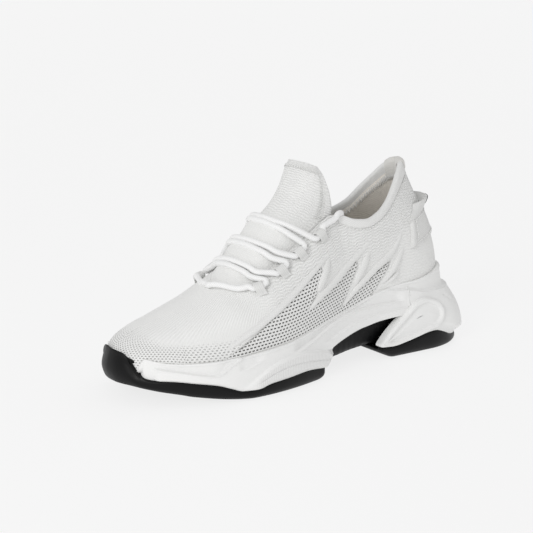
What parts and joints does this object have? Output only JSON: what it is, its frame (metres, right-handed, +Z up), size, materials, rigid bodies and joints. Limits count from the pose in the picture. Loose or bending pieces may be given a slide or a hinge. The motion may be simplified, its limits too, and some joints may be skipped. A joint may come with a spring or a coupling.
{
  "type": "running shoe",
  "caption": "Left slip-on running shoe: knit upper, tall tongue, round lace through webbing loops, heel pull loop, thick sculpted foam midsole on rubber outsole pads.",
  "frame": {"origin": "on the floor under the middle of the shoe's length and width, to within 1.7 mm", "axes": "+X runs from the heel to the toe, +Y to the outer (lateral) side of this left shoe, +Z up; the ground-contact faces of both rubber pads lie at z = 0"},
  "size_m": [0.2995, 0.108, 0.1475],
  "materials": {
    "white_knit": "matte",
    "white_rib_knit": "matte",
    "white_webbing": "matte",
    "white_lace_cord": "matte",
    "white_eva_foam": "matte",
    "black_rubber": "satin",
    "black_arch_rubber": "satin",
    "black_label": "matte",
    "grey_lining": "matte",
    "smooth_lining": "satin",
    "pale_foam": "matte",
    "grey_board": "matte"
  },
  "bodies": {
    "shoe": {"arch_shank": "black_arch_rubber", "collar_cap": "smooth_lining", "collar_foam": "pale_foam", "collar_hem": "white_knit", "heel_counter": "grey_board", "heel_lining": "grey_lining", "heel_patch": "white_webbing", "lace": "white_lace_cord", "lace_loop_lateral_1": "white_webbing", "lace_loop_lateral_2": "white_webbing", "lace_loop_lateral_3": "white_webbing", "lace_loop_lateral_4": "white_webbing", "lace_loop_medial_1": "white_webbing", "lace_loop_medial_2": "white_webbing", "lace_loop_medial_3": "white_webbing", "lace_loop_medial_4": "white_webbing", "loop_label": "black_label", "midsole": "white_eva_foam", "outsole_forefoot": "black_rubber", "outsole_heel": "black_rubber", "pull_loop": "white_webbing", "quarter_lateral": "white_knit", "quarter_medial": "white_knit", "rib_lateral_front": "white_rib_knit", "rib_lateral_middle": "white_rib_knit", "rib_lateral_rear": "white_rib_knit", "rib_medial_front": "white_rib_knit", "rib_medial_middle": "white_rib_knit", "rib_medial_rear": "white_rib_knit", "strobel_board": "grey_board", "toe_puff": "grey_board", "tongue_base": "white_knit", "vamp": "white_knit"},
    "tongue": {"tongue_top": "white_knit"},
    "insole": {"insole": "pale_foam"}
  },
  "joints": [
    {"name": "tongue_bend", "type": "hinge", "parent": "shoe", "child": "tongue", "pos_m": [0.0124, 0, 0.1149], "axis": [0, 1, 0], "range_deg": [0, 30], "stiffness_Nm_per_rad": 0.02},
    {"name": "insole_lift", "type": "hinge", "parent": "shoe", "child": "insole", "pos_m": [0.136, -0.005, 0.0235], "axis": [0, 1, 0], "range_deg": [0, 3]}
  ]
}
